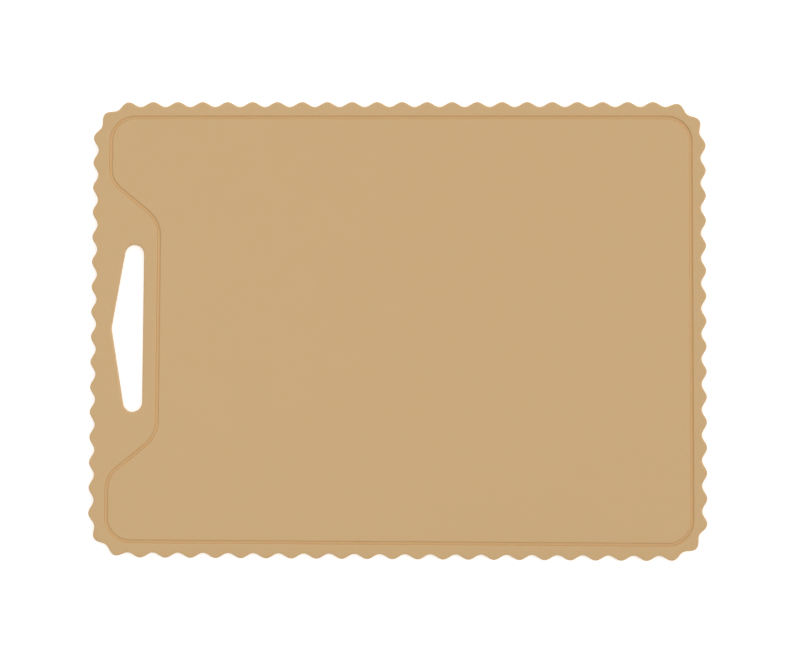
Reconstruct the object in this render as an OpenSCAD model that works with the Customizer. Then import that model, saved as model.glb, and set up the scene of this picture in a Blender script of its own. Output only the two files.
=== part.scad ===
// Silicone cutting board: one moulded sheet with a waved rim, a juice groove
// that steps in round the grip, and a hand slot with a notch for hanging.
// Lengths are in millimetres. +X runs along the board, away from the hand slot,
// and +Z points up from the underside to the work face.

/* [Board] */
// Length over the crests of the rim
board_l = 289; // [250:1:340]
// Width over the crests of the rim
board_w = 215; // [190:1:260]
// Thickness of the sheet
board_t = 3; // [2.4:0.1:5]
// Radius of the rim's corners, half way up the waves
corner_r = 17.5; // [12:0.5:28]
// Radius of the soft edge round the rim and the hand slot
edge_r = 0.8; // [0.4:0.1:1.1]

/* [Waved rim] */
// Number of waves round the whole rim
wave_count = 82; // [60:2:96]
// Depth of a wave from crest to valley
wave_depth = 2.4; // [1:0.1:3]
// Distance along the rim from the middle of the far end to the nearest crest
wave_shift = 4.15; // [0:0.05:12]

/* [Juice groove] */
// Width of the groove at the work face
groove_w = 2.2; // [1.8:0.1:3.2]
// Depth of the groove
groove_depth = 0.9; // [0.5:0.1:1.2]
// Lean of the groove's walls from upright, in degrees
groove_lean = 20; // [10:1:25]
// Radius between the groove's walls and its floor
groove_foot_r = 0.3; // [0.1:0.05:0.35]
// Groove's centre line to the rim's crests along both sides
groove_side_margin = 7.5; // [6:0.1:12]
// Groove's centre line to the rim's crests at the far end
groove_far_margin = 7.1; // [6:0.1:12]
// Groove's centre line to the rim's crests at the grip end
groove_grip_margin = 8.45; // [6:0.05:10]
// Radius of the groove's four corners, on its centre line
groove_corner_r = 11.4; // [8:0.1:15]

/* [Grip] */
// How far the groove steps in from the rim's crests to clear the grip
bay_l = 31.8; // [29:0.1:40]
// Width of the step along its inner run, between the bends
bay_inner_w = 101.2; // [94:0.2:110]
// Width of the step where it leaves the side runs, between the bends
bay_outer_w = 139.6; // [132:0.2:146]
// Radius of the bends next to the inner run
bay_inner_r = 15.3; // [8:0.1:18]
// Radius of the bends at the side runs
bay_outer_r = 11.9; // [8:0.1:14]

/* [Hand slot] */
// Length of the slot
slot_l = 78.8; // [70:0.2:86]
// Width of the slot at its notch
slot_w = 15.1; // [12:0.1:16]
// Radius of the slot's round ends
slot_end_r = 4.6; // [3:0.1:5.5]
// Radius at the bottom of the notch
notch_r = 1.9; // [1:0.1:4]
// Rim's crests at the grip end to the slot's straight side
slot_margin = 24.65; // [22:0.05:25.5]

/* [Hidden] */

silicone = [0.79, 0.67, 0.49];

// Facets of the curved stretches
wave_steps = 10;
edge_steps = 2;
bend_steps = 8;
slot_steps = 12;
foot_steps = 3;
// How far a cutter runs past the face that it cuts
overrun = 0.6;

// The line half way up the waves is a rectangle with round corners
mean_l = board_l - wave_depth;
mean_w = board_w - wave_depth;
flat_l = mean_l / 2 - corner_r;
flat_w = mean_w / 2 - corner_r;
corner_arc = PI * corner_r / 2;
quarter_rim = flat_w + corner_arc + flat_l;
wave_pitch = 4 * quarter_rim / wave_count;

// A place on the mean line is [point, outward normal, curvature]. In the first quarter it is
// found by its distance s from the middle of the far end, and the other quarters mirror it.
function quarter_place(s) =
    s < flat_w ? [[mean_l / 2, s], [1, 0], 0] :
    s < flat_w + corner_arc ?
        let (turn = 90 * (s - flat_w) / corner_arc, out = [cos(turn), sin(turn)])
        [[flat_l, flat_w] + corner_r * out, out, 1 / corner_r] :
    [[flat_l + flat_w + corner_arc - s, mean_w / 2], [0, 1], 0];

function mirrored(place, sx, sy) =
    [[sx * place[0].x, sy * place[0].y], [sx * place[1].x, sy * place[1].y], place[2]];

function mean_place(s) =
    let (q = floor(s / quarter_rim) % 4, u = s - floor(s / quarter_rim) * quarter_rim)
    q == 0 ? quarter_place(u) :
    q == 1 ? mirrored(quarter_place(quarter_rim - u), -1, 1) :
    q == 2 ? mirrored(quarter_place(u), -1, -1) :
    mirrored(quarter_place(quarter_rim - u), 1, -1);

// A point of the waved outline at distance s, set back square to the edge by inset
function wave_point(s, inset) =
    let (
        place = mean_place(s),
        out = place[1],
        along = [-out.y, out.x],
        turn = 360 * (s - wave_shift) / wave_pitch,
        rise = wave_depth / 2 * cos(turn),
        slope = -PI * wave_depth / wave_pitch * sin(turn),
        square_out = (1 + rise * place[2]) * out - slope * along
    )
    place[0] + rise * out - inset * square_out / norm(square_out);

function rim_ring(inset) =
    [for (i = [0:wave_count * wave_steps - 1])
        wave_point(wave_shift + i * wave_pitch / wave_steps, inset)];

// The soft edge from the underside up, as [height, set back]
function soft_edge() =
    let (lower = [for (k = [0:edge_steps])
        let (turn = 90 * k / edge_steps) [edge_r * (1 - cos(turn)), edge_r * (1 - sin(turn))]])
    concat(lower, [for (k = [edge_steps:-1:0]) [board_t - lower[k][0], lower[k][1]]]);

// The slot's outline goes round three circles, each [centre, radius, first turn, last turn]
slot_x = slot_margin - board_l / 2;
slot_end = [slot_x - slot_end_r, slot_l / 2 - slot_end_r];
notch = [slot_x - slot_w + notch_r, 0];
function tangent_turn(a, ra, b, rb) =
    let (d = b - a) atan2(d.y, d.x) - acos((ra - rb) / norm(d));
side_turn = 360 + tangent_turn(slot_end, slot_end_r, notch, notch_r);
slot_arcs = [
    [slot_end, slot_end_r, 0, side_turn],
    [notch, notch_r, side_turn, 360 - side_turn],
    [[slot_end.x, -slot_end.y], slot_end_r, 360 - side_turn, 360]
];

function slot_ring(outset) =
    [for (arc = slot_arcs) for (k = [0:slot_steps])
        let (turn = arc[2] + (arc[3] - arc[2]) * k / slot_steps)
        arc[0] + (arc[1] + outset) * [cos(turn), sin(turn)]];

// The groove's centre line, by the corners of its bends and their radii
groove_far_x = board_l / 2 - groove_far_margin;
groove_grip_x = groove_grip_margin - board_l / 2;
groove_side_y = board_w / 2 - groove_side_margin;
bay_x = bay_l - board_l / 2;
half_bends = [
    [[groove_far_x, groove_side_y], groove_corner_r],
    [[groove_grip_x, groove_side_y], groove_corner_r],
    [[groove_grip_x, bay_outer_w / 2], bay_outer_r],
    [[bay_x, bay_inner_w / 2], bay_inner_r]
];
bends = concat(half_bends,
    [for (k = [len(half_bends) - 1:-1:0]) [[half_bends[k][0].x, -half_bends[k][0].y], half_bends[k][1]]]);

function unit(v) = v / norm(v);
function wrapped(turn) = turn - 360 * floor((turn + 180) / 360);

// The places [point, normal] along one bend, where the normal points left of the way round
function bend_places(before, bend, after) =
    let (
        p = bend[0], r = bend[1],
        come = unit(p - before), go = unit(after - p),
        swing = wrapped(atan2(go.y, go.x) - atan2(come.y, come.x)),
        hand = sign(swing),
        start = p - come * r * tan(abs(swing) / 2),
        centre = start + hand * r * [-come.y, come.x]
    )
    [for (k = [0:bend_steps])
        let (turn = atan2(come.y, come.x) + swing * k / bend_steps, left = [-sin(turn), cos(turn)])
        [centre - hand * r * left, left]];

groove_line = [for (i = [0:len(bends) - 1])
    each bend_places(bends[(i + len(bends) - 1) % len(bends)][0], bends[i], bends[(i + 1) % len(bends)][0])];

// The groove's section as [across, height]: a flat floor, a round foot and a leaning wall on each
// side, run on above the work face
floor_z = board_t - groove_depth;
foot_x = groove_w / 2 - groove_depth * tan(groove_lean) - groove_foot_r * tan(45 - groove_lean / 2);
half_section = concat(
    [for (k = [0:foot_steps])
        let (turn = (90 - groove_lean) * k / foot_steps - 90)
        [foot_x + groove_foot_r * cos(turn), floor_z + groove_foot_r * (1 + sin(turn))]],
    [[groove_w / 2 + overrun * tan(groove_lean), board_t + overrun]]
);
groove_section = concat(
    [for (k = [len(half_section) - 1:-1:0]) [-half_section[k][0], half_section[k][1]]],
    half_section
);

// Triangles between two neighbouring rings of n points, whose first points are a and b
function band(a, b, n) =
    [for (i = [0:n - 1]) let (j = (i + 1) % n)
        each [[a + i, b + i, b + j], [a + i, b + j, a + j]]];

// A solid through flat rings, each [height, points], closed by a fan from the hub at both ends
module loft(rings, hub) {
    n = len(rings[0][1]);
    last = len(rings) - 1;
    points = concat(
        [for (ring = rings) each [for (p = ring[1]) [p.x, p.y, ring[0]]]],
        [[hub.x, hub.y, rings[0][0]], [hub.x, hub.y, rings[last][0]]]
    );
    under = len(rings) * n;
    faces = concat(
        [for (k = [0:last - 1]) each band(k * n, (k + 1) * n, n)],
        [for (i = [0:n - 1]) [under, i, (i + 1) % n]],
        [for (i = [0:n - 1]) [under + 1, last * n + (i + 1) % n, last * n + i]]
    );
    polyhedron(points, faces, convexity = 6);
}

// A closed channel cutter: the section carried along the places of a closed line
module closed_sweep(line, section) {
    n = len(section);
    m = len(line);
    points = [for (place = line) each [for (s = section)
        let (p = place[0] + s[0] * place[1]) [p.x, p.y, s[1]]]];
    polyhedron(points, [for (i = [0:m - 1]) each band(i * n, (i + 1) % m * n, n)], convexity = 6);
}

module waved_sheet() {
    loft([for (level = soft_edge()) [level[0], rim_ring(level[1])]], [0, 0]);
}

// The slot's cutter keeps the slope of the soft edge where it runs past both faces
module slot_cutter() {
    edge = soft_edge();
    last = len(edge) - 1;
    flare = overrun * (edge[0][1] - edge[1][1]) / (edge[1][0] - edge[0][0]);
    levels = concat([[-overrun, edge_r + flare]],
        [for (k = [1:last - 1]) edge[k]],
        [[board_t + overrun, edge_r + flare]]);
    loft([for (level = levels) [level[0], slot_ring(level[1])]], [slot_end.x, 0]);
}

module groove_cutter() {
    closed_sweep(groove_line, groove_section);
}

module board() {
    color(silicone)
    difference() {
        waved_sheet();
        slot_cutter();
        groove_cutter();
    }
}

board();
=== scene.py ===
"""Scene of a silicone cutting board seen from above.

The board is one moulded sheet: a waved rim with a soft edge, a juice groove that steps in round the
grip, and a hand slot with a notch for hanging. One Geometry Nodes tree draws it from named sizes.
Sizes are written in millimetres and multiplied by MM, because Blender works in metres.
"""

import logging
import math
from dataclasses import dataclass, field, replace
from enum import Enum

import bmesh
import bpy
from mathutils import Matrix, Vector

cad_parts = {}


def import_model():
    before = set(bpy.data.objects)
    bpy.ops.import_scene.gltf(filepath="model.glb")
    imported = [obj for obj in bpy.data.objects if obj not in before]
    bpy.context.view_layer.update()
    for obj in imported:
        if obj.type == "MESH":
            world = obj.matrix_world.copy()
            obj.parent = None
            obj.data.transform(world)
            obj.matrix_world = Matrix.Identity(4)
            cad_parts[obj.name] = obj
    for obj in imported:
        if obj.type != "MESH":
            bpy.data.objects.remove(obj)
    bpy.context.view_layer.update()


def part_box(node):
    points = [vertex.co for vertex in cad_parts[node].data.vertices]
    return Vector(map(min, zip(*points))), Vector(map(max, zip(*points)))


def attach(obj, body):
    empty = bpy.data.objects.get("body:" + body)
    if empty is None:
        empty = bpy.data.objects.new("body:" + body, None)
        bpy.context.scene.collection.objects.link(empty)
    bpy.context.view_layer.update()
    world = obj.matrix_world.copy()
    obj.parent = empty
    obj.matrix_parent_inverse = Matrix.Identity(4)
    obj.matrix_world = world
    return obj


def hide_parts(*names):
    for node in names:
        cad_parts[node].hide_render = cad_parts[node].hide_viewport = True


log = logging.getLogger("cutting_board")

MM = 0.001
BODY = "root"
NODE = "board"
SKIN = "board_skin"
SWEEP = "white_sweep"
CHANNEL = "channel"

Socket = bpy.types.NodeSocket
Term = Socket | float | int | str | bool | tuple | bpy.types.Material
Colour = tuple[float, float, float]
Inputs = dict[str | int, Term]


class Face(Enum):
    """The two flat faces of the sheet."""

    WORK = "work face"
    UNDERSIDE = "underside"


def linear(red: int, green: int, blue: int) -> Colour:
    """Turn a screen colour of 0 to 255 into the linear colour that shaders use.

    Args:
        red: screen value of red.
        green: screen value of green.
        blue: screen value of blue.

    Returns:
        The three linear values from 0 to 1.
    """

    def channel(value: int) -> float:
        """Undo the screen's curve for one value."""
        share = value / 255
        return share / 12.92 if share <= 0.04045 else ((share + 0.055) / 1.055) ** 2.4

    return channel(red), channel(green), channel(blue)


class TreeWriter:
    """Adds nodes to one node tree, wires them, and keeps the values of the tree's named inputs."""

    def __init__(self, tree: bpy.types.NodeTree) -> None:
        """Start on a tree.

        Args:
            tree: the node tree to write into.
        """
        self.tree = tree
        self.entry: bpy.types.Node | None = None
        self.values: dict[str, float] = {}

    def size(self, name: str, value: float, whole: bool = False) -> Socket:
        """Add a named input to a geometry tree.

        Args:
            name: what the input is called in the modifier.
            value: the value that the modifier sets.
            whole: true for a count.

        Returns:
            The socket that carries the value inside the tree.
        """
        kind = "NodeSocketInt" if whole else "NodeSocketFloat"
        item = self.tree.interface.new_socket(name=name, in_out="INPUT", socket_type=kind)
        if self.entry is None:
            self.entry = self.tree.nodes.new("NodeGroupInput")
        self.values[item.identifier] = value
        return self.entry.outputs[name]

    def node(self, kind: str, inputs: Inputs | None = None, **settings: Term) -> bpy.types.Node:
        """Add a node.

        Args:
            kind: the node's type name.
            inputs: a socket or a plain value for each input, by its name or its place.
            settings: the node's own properties.

        Returns:
            The new node.
        """
        made = self.tree.nodes.new(kind)
        for name, value in settings.items():
            setattr(made, name, value)
        for key, term in (inputs or {}).items():
            if isinstance(term, Socket):
                self.tree.links.new(term, made.inputs[key])
            else:
                made.inputs[key].default_value = term
        return made

    def wire(self, kind: str, inputs: Inputs | None = None, **settings: Term) -> Socket:
        """Add a node and return its first output that is in use."""
        outputs = self.node(kind, inputs, **settings).outputs
        return next(socket for socket in outputs if socket.enabled)

    def calc(self, operation: str, *terms: Term) -> Socket:
        """Run one operation of the Math node on one, two or three numbers."""
        return self.wire("ShaderNodeMath", dict(enumerate(terms)), operation=operation)

    def add(self, a: Term, b: Term) -> Socket:
        """Add two numbers."""
        return self.calc("ADD", a, b)

    def sub(self, a: Term, b: Term) -> Socket:
        """Take b from a."""
        return self.calc("SUBTRACT", a, b)

    def mul(self, a: Term, b: Term) -> Socket:
        """Multiply two numbers."""
        return self.calc("MULTIPLY", a, b)

    def div(self, a: Term, b: Term) -> Socket:
        """Divide a by b."""
        return self.calc("DIVIDE", a, b)

    def neg(self, a: Term) -> Socket:
        """Change a number's sign."""
        return self.mul(a, -1.0)

    def half(self, a: Term) -> Socket:
        """Halve a number."""
        return self.mul(a, 0.5)

    def point(self, x: Term, y: Term, z: Term = 0.0) -> Socket:
        """Join three numbers into a point or a vector."""
        return self.wire("ShaderNodeCombineXYZ", {0: x, 1: y, 2: z})

    def parts_of(self, vector: Socket) -> bpy.types.NodeOutputs:
        """Split a vector into outputs named X, Y and Z."""
        return self.node("ShaderNodeSeparateXYZ", {0: vector}).outputs

    def join(self, parts: list[Socket]) -> Socket:
        """Join geometries into one.

        Args:
            parts: the geometries.

        Returns:
            The joined geometry.
        """
        made = self.node("GeometryNodeJoinGeometry")
        for part in parts:
            self.tree.links.new(part, made.inputs[0])
        return made.outputs[0]

    def pick(self, kind: str, items: list[Term]) -> Socket:
        """Give each point of a geometry the item that stands at the point's index.

        Args:
            kind: the data type of the items.
            items: one item for each point.

        Returns:
            The field's socket.
        """
        switch = self.node("GeometryNodeIndexSwitch", data_type=kind)
        while len(switch.index_switch_items) < len(items):
            switch.index_switch_items.new()
        self.tree.links.new(self.wire("GeometryNodeInputIndex"), switch.inputs[0])
        for place, item in enumerate(items, start=1):
            if isinstance(item, Socket):
                self.tree.links.new(item, switch.inputs[place])
            else:
                switch.inputs[place].default_value = item
        return switch.outputs[0]

    def rounded_path(
        self, corners: list[Socket], radii: list[Term], steps: Term, closed: bool = True
    ) -> Socket:
        """Draw a line through corners and round each corner with its own radius.

        Args:
            corners: the corner points; a closed line turns from X towards Y.
            radii: the radius at each corner.
            steps: the number of points on each bend.
            closed: false for a line that ends at its first and last corner.

        Returns:
            The curve.
        """
        count = len(corners)
        if closed:
            blank = self.wire("GeometryNodeCurvePrimitiveCircle", {"Resolution": count})
        else:
            line = self.wire("GeometryNodeCurvePrimitiveLine")
            blank = self.wire("GeometryNodeResampleCurve", {"Curve": line, "Count": count})
        placed = self.wire(
            "GeometryNodeSetPosition", {"Geometry": blank, "Position": self.pick("VECTOR", corners)}
        )
        return self.wire(
            "GeometryNodeFilletCurve",
            {"Curve": placed, "Count": steps, "Radius": self.pick("FLOAT", radii)},
            mode="POLY",
        )

    def swept(self, path: Socket, section: Socket) -> Socket:
        """Carry a section, whose X points outwards and whose Y down, along a closed path."""
        band = self.wire("GeometryNodeCurveToMesh", {"Curve": path, "Profile Curve": section})
        return self.shaded(band, smooth=True)

    def shaded(self, mesh: Socket, smooth: bool) -> Socket:
        """Shade a mesh smooth or flat."""
        return self.wire("GeometryNodeSetShadeSmooth", {"Geometry": mesh, "Shade Smooth": smooth})


@dataclass(frozen=True)
class EdgeInputs:
    """The sockets of a tree that carry the soft edge's sizes."""

    radius: Socket
    landing: Socket
    steps: Socket


@dataclass
class SoftEdge:
    """The soft moulded edge that the rim and the hand slot share."""

    radius: float = 0.8 * MM
    landing: float = 1.2 * MM
    steps: int = 6

    def draw(self, write: TreeWriter) -> EdgeInputs:
        """Add the edge's named inputs.

        Args:
            write: the tree to add them to.

        Returns:
            Their sockets.
        """
        return EdgeInputs(
            radius=write.size("Edge radius", self.radius),
            landing=write.size("Edge landing", self.landing),
            steps=write.size("Edge steps", self.steps, whole=True),
        )

    @staticmethod
    def section(write: TreeWriter, edge: EdgeInputs, thickness: Socket, hand: int) -> Socket:
        """Draw the edge's section, from one face round the wall to the other.

        Args:
            write: the tree to draw in.
            edge: the edge's sizes.
            thickness: the sheet's thickness.
            hand: 1 where the sheet lies inside the path, -1 where it lies outside.

        Returns:
            The section, with a flat landing on both faces.
        """
        top = write.neg(thickness)
        back = write.mul(edge.landing, -hand)
        corners = [(back, top), (0.0, top), (0.0, 0.0), (back, 0.0)]
        points = [write.point(x, y) for x, y in corners]
        radii = [0.0, edge.radius, edge.radius, 0.0]
        return write.rounded_path(points, radii, edge.steps, closed=False)


@dataclass
class WavedRim:
    """The board's outline: a rectangle with round corners and even waves all the way round."""

    length: float
    width: float
    corner_radius: float = 17.5 * MM
    waves: int = 82
    wave_depth: float = 2.4 * MM
    wave_shift: float = 4.15 * MM
    points_per_wave: int = 16
    corner_steps: int = 48

    def draw(self, write: TreeWriter) -> Socket:
        """Draw the waved outline.

        Args:
            write: the tree to draw in.

        Returns:
            The closed curve.
        """
        depth = write.size("Wave depth", self.wave_depth)
        waves = write.size("Waves", self.waves, whole=True)
        corner = write.size("Corner radius", self.corner_radius)
        mean_length = write.sub(write.size("Length", self.length), depth)
        mean_width = write.sub(write.size("Width", self.width), depth)
        rectangle = write.wire(
            "GeometryNodeCurvePrimitiveQuadrilateral", {"Width": mean_length, "Height": mean_width}
        )
        steps = write.size("Corner steps", self.corner_steps, whole=True)
        rounded = write.wire(
            "GeometryNodeFilletCurve",
            {"Curve": rectangle, "Count": steps, "Radius": corner},
            mode="POLY",
        )
        per_wave = write.size("Points per wave", self.points_per_wave, whole=True)
        count = write.mul(waves, per_wave)
        even = write.wire("GeometryNodeResampleCurve", {"Curve": rounded, "Count": count})
        lead = self.lead(write, rounded, mean_width, corner, waves)
        return self.waved(write, even, depth, waves, lead)

    def lead(
        self, write: TreeWriter, rounded: Socket, mean_width: Socket, corner: Socket, waves: Socket
    ) -> Socket:
        """Count the waves from the crest by the far end's middle to the path's first point.

        Args:
            write: the tree to draw in.
            rounded: the rectangle with round corners, whose first point ends the far end's
                straight stretch.
            mean_width: the rectangle's width.
            corner: its corner radius.
            waves: the number of waves.

        Returns:
            The number of waves, as a socket.
        """
        pitch = write.div(write.wire("GeometryNodeCurveLength", {"Curve": rounded}), waves)
        half_end = write.sub(write.half(mean_width), corner)
        return write.div(write.sub(half_end, write.size("Wave shift", self.wave_shift)), pitch)

    @staticmethod
    def waved(
        write: TreeWriter, even: Socket, depth: Socket, waves: Socket, lead: Socket
    ) -> Socket:
        """Move the points of an evenly spaced path out and in, square to the path.

        Args:
            write: the tree to draw in.
            even: the path.
            depth: the waves' depth from crest to valley.
            waves: the number of waves.
            lead: how many waves come before the path's first point.

        Returns:
            The waved path.
        """
        along = write.wire("GeometryNodeSplineParameter")
        turn = write.mul(write.add(write.mul(along, waves), lead), math.tau)
        rise = write.mul(write.calc("COSINE", turn), write.half(depth))
        tangent = write.parts_of(write.wire("GeometryNodeInputTangent"))
        across = write.mul(tangent["Y"], rise)
        out = write.point(across, write.neg(write.mul(tangent["X"], rise)))
        return write.wire("GeometryNodeSetPosition", {"Geometry": even, "Offset": out})


@dataclass
class HandSlot:
    """The finger slot at the grip end: a thin triangle whose round outer corner is the notch."""

    length: float = 78.8 * MM
    width: float = 15.1 * MM
    end_radius: float = 4.6 * MM
    notch_radius: float = 1.9 * MM
    margin: float = 24.65 * MM
    bend_steps: int = 24

    def sharp_corners(self, grip_end: float) -> tuple[float, float, float]:
        """Find the sharp corners of the triangle, before they are rounded.

        Args:
            grip_end: the board's lowest x.

        Returns:
            The straight side's x, how far its two corners lie from the middle, and the outer
            corner's x.
        """
        inner = grip_end + self.margin
        end_x = inner - self.end_radius
        end_y = self.length / 2 - self.end_radius
        notch_x = inner - self.width + self.notch_radius
        run = Vector((notch_x - end_x, -end_y))
        # The slanting side touches the circles of the round end and the notch. Out is square to it
        swing = math.acos((self.end_radius - self.notch_radius) / run.length)
        lean = math.atan2(run.y, run.x) - swing
        out = Vector((math.cos(lean), math.sin(lean)))
        reach = out.x * notch_x + self.notch_radius
        return inner, (reach - out.x * inner) / out.y, reach / out.x

    def draw(self, write: TreeWriter, grip_end: float) -> Socket:
        """Draw the slot's outline.

        Args:
            write: the tree to draw in.
            grip_end: the board's lowest x.

        Returns:
            The closed curve.
        """
        inner, side, outer = self.sharp_corners(grip_end)
        inner_x = write.size("Slot inner side", inner)
        side_y = write.size("Slot corner reach", side)
        outer_x = write.size("Slot outer corner", outer)
        end = write.size("Slot end radius", self.end_radius)
        notch = write.size("Notch radius", self.notch_radius)
        corners = [(inner_x, write.neg(side_y)), (inner_x, side_y), (outer_x, 0.0)]
        points = [write.point(x, y) for x, y in corners]
        steps = write.size("Slot steps", self.bend_steps, whole=True)
        return write.rounded_path(points, [end, end, notch], steps)


@dataclass
class JuiceGroove:
    """The shallow channel that runs round the work face and steps in behind the grip.

    Its width is the opening in the work face, over the soft lips.
    """

    width: float = 2.2 * MM
    depth: float = 0.9 * MM
    lean: float = math.radians(20)
    foot_radius: float = 0.3 * MM
    lip_radius: float = 0.3 * MM
    landing: float = 0.15 * MM
    side_margin: float = 7.5 * MM
    far_margin: float = 7.1 * MM
    grip_margin: float = 8.45 * MM
    corner_radius: float = 11.4 * MM
    bay_length: float = 31.8 * MM
    bay_inner_width: float = 101.2 * MM
    bay_outer_width: float = 139.6 * MM
    bay_inner_radius: float = 15.3 * MM
    bay_outer_radius: float = 11.9 * MM
    bend_steps: int = 20
    section_steps: int = 6

    def draw(self, write: TreeWriter, length: float, width: float) -> Socket:
        """Draw the groove's centre line.

        Args:
            write: the tree to draw in.
            length: the board's length.
            width: the board's width.

        Returns:
            The closed curve.
        """
        far_x = write.size("Groove far run", length / 2 - self.far_margin)
        grip_x = write.size("Groove grip run", self.grip_margin - length / 2)
        side_y = write.size("Groove side run", width / 2 - self.side_margin)
        bay_x = write.size("Bay inner run", self.bay_length - length / 2)
        outer_y = write.size("Bay outer bend", self.bay_outer_width / 2)
        inner_y = write.size("Bay inner bend", self.bay_inner_width / 2)
        corner = write.size("Groove corner radius", self.corner_radius)
        outer_r = write.size("Bay outer radius", self.bay_outer_radius)
        inner_r = write.size("Bay inner radius", self.bay_inner_radius)
        upper = [
            (far_x, side_y, corner),
            (grip_x, side_y, corner),
            (grip_x, outer_y, outer_r),
            (bay_x, inner_y, inner_r),
        ]
        whole = upper + [(x, write.neg(y), radius) for x, y, radius in reversed(upper)]
        points = [write.point(x, y) for x, y, _ in whole]
        radii = [radius for _, _, radius in whole]
        steps = write.size("Groove bend steps", self.bend_steps, whole=True)
        return write.rounded_path(points, radii, steps)

    def section(self, write: TreeWriter, thickness: Socket) -> Socket:
        """Draw the channel's section: a soft lip, a leaning wall and a round foot on each side.

        Args:
            write: the tree to draw in.
            thickness: the sheet's thickness.

        Returns:
            The section, from the inner side over the flat floor to the outer side.
        """
        depth = write.size("Groove depth", self.depth)
        opening = write.half(write.size("Groove width", self.width))
        edge = write.add(opening, write.size("Groove landing", self.landing))
        lip = write.size("Lip radius", self.lip_radius)
        foot = write.size("Foot radius", self.foot_radius)
        lip_setback = write.mul(lip, math.tan(math.pi / 4 - self.lean / 2))
        lip_corner = write.sub(opening, lip_setback)
        foot_corner = write.sub(lip_corner, write.mul(depth, math.tan(self.lean)))
        top = write.neg(thickness)
        floor = write.add(top, depth)
        side = [(edge, top, 0.0), (lip_corner, top, lip), (foot_corner, floor, foot)]
        whole = [(write.neg(x), y, radius) for x, y, radius in side] + side[::-1]
        points = [write.point(x, y) for x, y, _ in whole]
        radii = [radius for _, _, radius in whole]
        steps = write.size("Groove section steps", self.section_steps, whole=True)
        return write.rounded_path(points, radii, steps, closed=False)


@dataclass(frozen=True)
class SiliconeFinish:
    """Moulded silicone: an even matt colour that lets a little light in, with a fine grain."""

    name: str
    colour: Colour
    shade: Colour
    roughness: float = 0.52
    roughness_spread: float = 0.05
    grain_height: float = 0.03 * MM
    grain_size: float = 0.35 * MM
    grain_strength: float = 0.4
    grain_layers: float = 2.0
    swell_height: float = 0.12 * MM
    swell_size: float = 26 * MM
    swell_strength: float = 0.5
    swell_layers: float = 1.0
    cloud_size: float = 34 * MM
    cloud_layers: float = 3.0
    ior: float = 1.41
    light_inside: float = 0.25
    depth_of_light: float = 1.1 * MM
    colour_of_depth: Colour = (1.0, 0.62, 0.36)
    sheen: float = 0.06
    sheen_roughness: float = 0.5

    def material(self) -> bpy.types.Material:
        """Build the finish.

        Returns:
            The material, with its pattern on Object coordinates.
        """
        made = bpy.data.materials.new(self.name)
        made.use_nodes = True
        made.node_tree.nodes.clear()
        write = TreeWriter(made.node_tree)
        place = write.node("ShaderNodeTexCoord").outputs["Object"]
        grain = self.noise(write, place, self.grain_size, self.grain_layers)
        shader = write.node(
            "ShaderNodeBsdfPrincipled",
            {
                "Base Color": self.tone(write, place),
                "Roughness": self.gloss(write, grain),
                "Normal": self.relief(write, place, grain),
                "IOR": self.ior,
                "Subsurface Weight": self.light_inside,
                "Subsurface Radius": self.colour_of_depth,
                "Subsurface Scale": self.depth_of_light,
                "Sheen Weight": self.sheen,
                "Sheen Roughness": self.sheen_roughness,
            },
        )
        write.node("ShaderNodeOutputMaterial", {"Surface": shader.outputs[0]})
        return made

    def gloss(self, write: TreeWriter, grain: Socket) -> Socket:
        """Let the roughness follow the grain.

        Args:
            write: the shader tree.
            grain: the grain's pattern.

        Returns:
            The roughness.
        """
        low = self.roughness - self.roughness_spread
        high = self.roughness + self.roughness_spread
        return write.wire("ShaderNodeMapRange", {"Value": grain, "To Min": low, "To Max": high})

    def relief(self, write: TreeWriter, place: Socket, grain: Socket) -> Socket:
        """Bend the normal by the wide swell and then by the fine grain.

        Args:
            write: the shader tree.
            place: the coordinates.
            grain: the grain's pattern.

        Returns:
            The normal.
        """
        swell = self.noise(write, place, self.swell_size, self.swell_layers)
        wide = {"Height": swell, "Distance": self.swell_height, "Strength": self.swell_strength}
        fine = {"Height": grain, "Distance": self.grain_height, "Strength": self.grain_strength}
        return write.wire("ShaderNodeBump", {**fine, "Normal": write.wire("ShaderNodeBump", wide)})

    def tone(self, write: TreeWriter, place: Socket) -> Socket:
        """Mix the finish's two colours in soft clouds."""
        clouds = self.noise(write, place, self.cloud_size, self.cloud_layers)
        return self.mix(write, clouds, (*self.colour, 1.0), (*self.shade, 1.0))

    @staticmethod
    def mix(write: TreeWriter, share: Socket, first: Term, second: Term) -> Socket:
        """Mix two colours, where the share is that of the second, from 0 to 1."""
        inputs = {"Factor": share, "A": first, "B": second}
        return write.node("ShaderNodeMix", inputs, data_type="RGBA").outputs["Result"]

    @staticmethod
    def noise(write: TreeWriter, place: Socket, size: float, layers: float) -> Socket:
        """Add noise whose spots are about a size in metres, with some layers of finer noise."""
        inputs = {"Vector": place, "Scale": 1 / size, "Detail": layers}
        return write.wire("ShaderNodeTexNoise", inputs)


FACE_SILICONE = SiliconeFinish("silicone_face", linear(202, 169, 122), linear(200, 167, 120))


@dataclass(frozen=True)
class PaintedBounceFinish(SiliconeFinish):
    """Silicone in a channel, with painted bounce light: the face's colour at the lips turns to a
    warmer, lighter painted colour on the floor, for light bounced between the channel's walls.
    """

    lips: SiliconeFinish = FACE_SILICONE
    lip_level: float = 0.0
    floor_level: float = 0.0

    def tone(self, write: TreeWriter, place: Socket) -> Socket:
        """Blend from the lips' colour to the painted bounce light of the floor by height.

        Args:
            write: the shader tree.
            place: the coordinates.

        Returns:
            The colour's socket.
        """
        height = write.parts_of(place)["Z"]
        levels = {"Value": height, "From Min": self.lip_level, "From Max": self.floor_level}
        # The share of painted bounce light, from none at the lips to all on the floor.
        bounce_share = write.wire("ShaderNodeMapRange", levels)
        return self.mix(write, bounce_share, self.lips.tone(write, place), super().tone(write, place))


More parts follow.
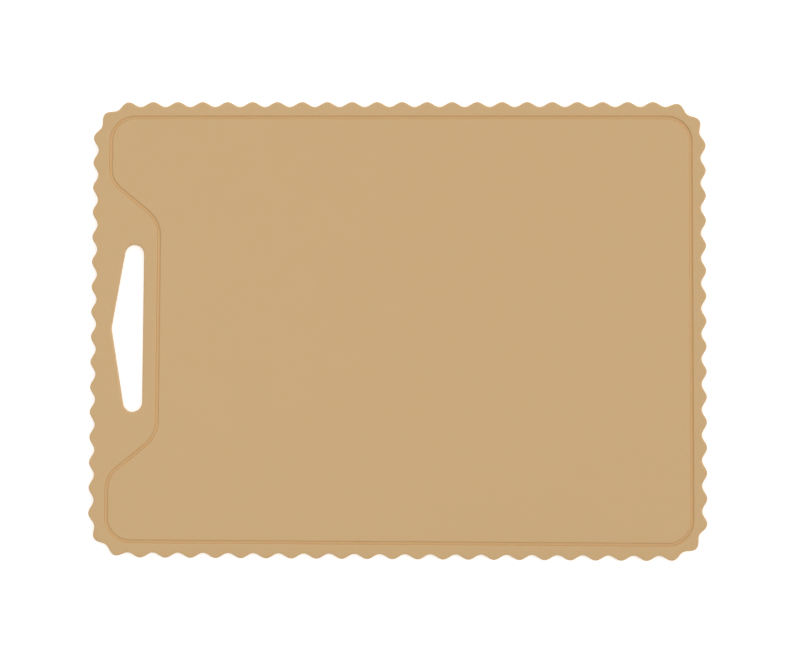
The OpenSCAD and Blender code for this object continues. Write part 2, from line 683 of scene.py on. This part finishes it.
# The groove's colours are painted bounce light: the face's silicone painted warmer and lighter;
# only its roughness and grain are its own.
GROOVE_PAINTED_BOUNCE = PaintedBounceFinish(
    "silicone_groove_painted_bounce",
    linear(213, 175, 123),
    linear(211, 173, 121),
    roughness=0.48,
    grain_height=0.012 * MM,
)


@dataclass(frozen=True)
class PaperFinish:
    """The plain white sweep that the board lies on."""

    name: str = SWEEP
    colour: Colour = (0.93, 0.93, 0.93)
    roughness: float = 0.9
    glow: float = 0.3

    def material(self) -> bpy.types.Material:
        """Build the finish.

        Returns:
            The material.
        """
        made = bpy.data.materials.new(self.name)
        made.use_nodes = True
        shader = made.node_tree.nodes["Principled BSDF"]
        shader.inputs["Base Color"].default_value = (*self.colour, 1.0)
        shader.inputs["Roughness"].default_value = self.roughness
        shader.inputs["Specular IOR Level"].default_value = 0.0
        shader.inputs["Emission Color"].default_value = (1.0, 1.0, 1.0, 1.0)
        shader.inputs["Emission Strength"].default_value = self.glow
        return made


@dataclass
class Board:
    """The whole moulding: rim, hand slot and juice groove in one closed skin."""

    length: float
    width: float
    thickness: float
    edge: SoftEdge = field(default_factory=SoftEdge)
    slot: HandSlot = field(default_factory=HandSlot)
    groove: JuiceGroove = field(default_factory=JuiceGroove)
    weld: float = 0.004 * MM

    @classmethod
    def from_frame(cls, node: str) -> "Board":
        """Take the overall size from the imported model.

        Args:
            node: the board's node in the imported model.

        Returns:
            The board at that size.
        """
        low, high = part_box(node)
        size = high - low
        return cls(size.x, size.y, size.z)

    def tree(self) -> TreeWriter:
        """Write the tree that draws the board.

        Returns:
            The writer, with the tree and the values of its inputs.
        """
        write = TreeWriter(bpy.data.node_groups.new("moulded_board", "GeometryNodeTree"))
        write.tree.interface.new_socket(
            name="Geometry", in_out="OUTPUT", socket_type="NodeSocketGeometry"
        )
        thickness = write.size("Thickness", self.thickness)
        edge = self.edge.draw(write)
        rim_path = WavedRim(self.length, self.width).draw(write)
        slot_path = self.slot.draw(write, -self.length / 2)
        groove_path = self.groove.draw(write, self.length, self.width)
        rim = write.swept(rim_path, self.edge.section(write, edge, thickness, hand=1))
        slot = write.swept(slot_path, self.edge.section(write, edge, thickness, hand=-1))
        channel = write.swept(groove_path, self.groove.section(write, thickness))
        marked = write.wire(
            "GeometryNodeStoreNamedAttribute",
            {"Geometry": channel, "Name": CHANNEL, "Value": True},
            data_type="BOOLEAN",
            domain="FACE",
        )
        bands = self.welded(write, [rim, slot, marked])
        faces = [self.face(write, bands, thickness, side) for side in Face]
        closed = self.welded(write, [bands, *faces])
        self.dress(write, write.wire("GeometryNodeRealizeInstances", {"Geometry": closed}))
        return write

    def welded(self, write: TreeWriter, parts: list[Socket]) -> Socket:
        """Join meshes into one and close the seams between them."""
        inputs = {"Geometry": write.join(parts), "Distance": self.weld}
        return write.wire("GeometryNodeMergeByDistance", inputs)

    @staticmethod
    def face(write: TreeWriter, bands: Socket, thickness: Socket, side: Face) -> Socket:
        """Fill one flat face between the open borders of the bands that end there.

        Args:
            write: the tree to draw in.
            bands: the swept bands.
            thickness: the sheet's thickness.
            side: which face.

        Returns:
            The flat face, turned outwards.
        """
        work = side is Face.WORK
        height = write.parts_of(write.wire("GeometryNodeInputPosition"))["Z"]
        near = write.calc("GREATER_THAN" if work else "LESS_THAN", height, write.half(thickness))
        # A border's edge has one face beside it, and the last number is how close the count must be
        faces_beside = write.wire("GeometryNodeInputMeshEdgeNeighbors")
        open_edge = write.calc("COMPARE", faces_beside, 1.0, 0.5)
        borders = write.wire(
            "GeometryNodeMeshToCurve", {"Mesh": bands, "Selection": write.mul(near, open_edge)}
        )
        filled = write.wire("GeometryNodeFillCurve", {"Curve": borders})
        level = write.point(0.0, 0.0, thickness if work else 0.0)
        lifted = write.wire("GeometryNodeTransform", {"Geometry": filled, "Translation": level})
        flat = write.shaded(lifted, smooth=False)
        return flat if work else write.wire("GeometryNodeFlipFaces", {"Mesh": flat})

    def dress(self, write: TreeWriter, whole: Socket) -> None:
        """Give the skin the face's finish and the channel that silicone with painted bounce light,
        and end the tree.

        Args:
            write: the tree to draw in.
            whole: the closed skin.
        """
        floor_level = self.thickness - self.groove.depth
        # The channel is the face's silicone with painted bounce light on its floor.
        painted_bounce = replace(GROOVE_PAINTED_BOUNCE, lip_level=self.thickness, floor_level=floor_level)
        plain = write.wire(
            "GeometryNodeSetMaterial", {"Geometry": whole, "Material": FACE_SILICONE.material()}
        )
        channel = write.node(
            "GeometryNodeInputNamedAttribute", {"Name": CHANNEL}, data_type="BOOLEAN"
        ).outputs[0]
        dressed = write.wire(
            "GeometryNodeSetMaterial",
            {"Geometry": plain, "Selection": channel, "Material": painted_bounce.material()},
        )
        write.node("NodeGroupOutput", {0: dressed})

    def build(self) -> bpy.types.Object:
        """Run the tree and keep its result as a plain mesh.

        Returns:
            The board's object, at the origin.
        """
        write = self.tree()
        holder = bpy.data.objects.new(SKIN, bpy.data.meshes.new(SKIN))
        bpy.context.scene.collection.objects.link(holder)
        modifier = holder.modifiers.new("moulded_board", "NODES")
        modifier.node_group = write.tree
        for identifier, value in write.values.items():
            modifier[identifier] = value
        depsgraph = bpy.context.evaluated_depsgraph_get()
        mesh = bpy.data.meshes.new_from_object(holder.evaluated_get(depsgraph))
        holder.modifiers.clear()
        holder.data = mesh
        # The tree's meshes start with an empty material slot, which isn't needed
        while None in mesh.materials[:]:
            mesh.materials.pop(index=mesh.materials[:].index(None))
        self.turn_outwards(mesh)
        return holder

    @staticmethod
    def turn_outwards(mesh: bpy.types.Mesh) -> None:
        """Point every face of a closed mesh outwards, and stop if the mesh has a hole.

        Args:
            mesh: the mesh to turn.

        Raises:
            ValueError: if an edge doesn't join exactly two faces.
        """
        work = bmesh.new()
        work.from_mesh(mesh)
        bmesh.ops.recalc_face_normals(work, faces=work.faces)
        loose = sum(not edge.is_manifold for edge in work.edges)
        volume = work.calc_volume() / MM**3
        log.info("skin: %d faces, %.1f mm3, %d open edges", len(work.faces), volume, loose)
        work.to_mesh(mesh)
        work.free()
        if loose:
            raise ValueError(f"the board's skin has {loose} open edges")


@dataclass(frozen=True)
class Softbox:
    """A square studio light that points at the middle of the board.

    Its turn goes from X towards Y, and its height is the angle above the floor.
    """

    name: str
    turn: float
    height: float
    power: float
    away: float = 2000 * MM
    side: float = 1000 * MM

    def build(self) -> bpy.types.Object:
        """Hang the light.

        Returns:
            The light's object.
        """
        data = bpy.data.lights.new(self.name, "AREA")
        data.shape = "SQUARE"
        data.size = self.side
        data.energy = self.power
        lamp = bpy.data.objects.new(self.name, data)
        bpy.context.scene.collection.objects.link(lamp)
        along_floor = self.away * math.cos(self.height)
        lamp.location = (
            along_floor * math.cos(self.turn),
            along_floor * math.sin(self.turn),
            self.away * math.sin(self.height),
        )
        lamp.rotation_mode = "QUATERNION"
        lamp.rotation_quaternion = (-lamp.location).to_track_quat("-Z", "Y")
        return lamp


@dataclass
class Studio:
    """The white sweep, the soft lights and the sky of a plain studio."""

    sweep_radius: float = 9000 * MM
    sweep_sides: int = 96
    sky: float = 0.66
    boxes: tuple[Softbox, ...] = (
        Softbox(
            "grip_softbox",
            turn=math.radians(180),
            height=math.radians(65),
            power=0.36,
            away=500 * MM,
            side=400 * MM,
        ),
        Softbox("far_softbox", turn=math.radians(0), height=math.radians(50), power=9.9),
        Softbox("side_softbox", turn=math.radians(90), height=math.radians(20), power=7.8),
    )

    def build(self) -> None:
        """Lay the sweep, hang the lights and set the sky."""
        self.lay_sweep()
        for box in self.boxes:
            box.build()
        world = bpy.data.worlds.new("studio_sky")
        world.use_nodes = True
        background = world.node_tree.nodes["Background"]
        background.inputs["Color"].default_value = (1.0, 1.0, 1.0, 1.0)
        background.inputs["Strength"].default_value = self.sky
        bpy.context.scene.world = world
        bpy.context.scene.view_settings.view_transform = "Standard"

    def lay_sweep(self) -> bpy.types.Object:
        """Lay the round white sweep under the board.

        Returns:
            The sweep's object.
        """
        sweep = bpy.data.objects.new(SWEEP, bpy.data.meshes.new(SWEEP))
        work = bmesh.new()
        bmesh.ops.create_circle(
            work, cap_ends=True, segments=self.sweep_sides, radius=self.sweep_radius
        )
        work.to_mesh(sweep.data)
        work.free()
        sweep.data.materials.append(PaperFinish().material())
        bpy.context.scene.collection.objects.link(sweep)
        return sweep


@dataclass(frozen=True)
class PhotoCamera:
    """The camera of the photograph, which looks nearly straight down on the board.

    Its place, aim and focal length come from a fit to the rim's waves, the slot and the groove.
    """

    place: tuple[float, float, float] = (24.0 * MM, -51.47 * MM, 845.04 * MM)
    target: tuple[float, float, float] = (1.25 * MM, -2.14 * MM, 2.2 * MM)
    upright: tuple[float, float, float] = (-0.00493, 1.0, 0.0)
    focal_px: float = 1800.0
    image_width_px: float = 800.0
    sensor_mm: float = 36.0
    near_clip: float = 10 * MM

    def build(self) -> bpy.types.Object:
        """Set up the camera and make it the scene's own.

        Returns:
            The camera's object.
        """
        data = bpy.data.cameras.new("photo_camera")
        data.sensor_width = self.sensor_mm
        data.lens = self.focal_px / self.image_width_px * self.sensor_mm
        data.clip_start = self.near_clip
        camera = bpy.data.objects.new("photo_camera", data)
        bpy.context.scene.collection.objects.link(camera)
        look = (Vector(self.target) - Vector(self.place)).normalized()
        right = look.cross(Vector(self.upright)).normalized()
        turn = Matrix((right, right.cross(look), -look)).transposed()
        camera.matrix_world = Matrix.Translation(self.place) @ turn.to_4x4()
        bpy.context.scene.camera = camera
        return camera


def corners(box: tuple[Vector, Vector]) -> list[list[float]]:
    """Turn a box's two corners into plain lists of numbers."""
    return [list(corner) for corner in box]


def main() -> None:
    """Build the board, the studio and the camera."""
    logging.basicConfig(level=logging.INFO, format="%(name)s: %(message)s")
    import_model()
    PhotoCamera().build()
    board = Board.from_frame(NODE).build()
    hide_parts(NODE)
    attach(board, BODY)
    log.info("%s rides on %s and stands for %s", board.name, BODY, NODE)
    studio = Studio()
    studio.build()
    log.info("%s is lit by %d soft boxes and the sky", SWEEP, len(studio.boxes))


if __name__ == "__main__":
    main()
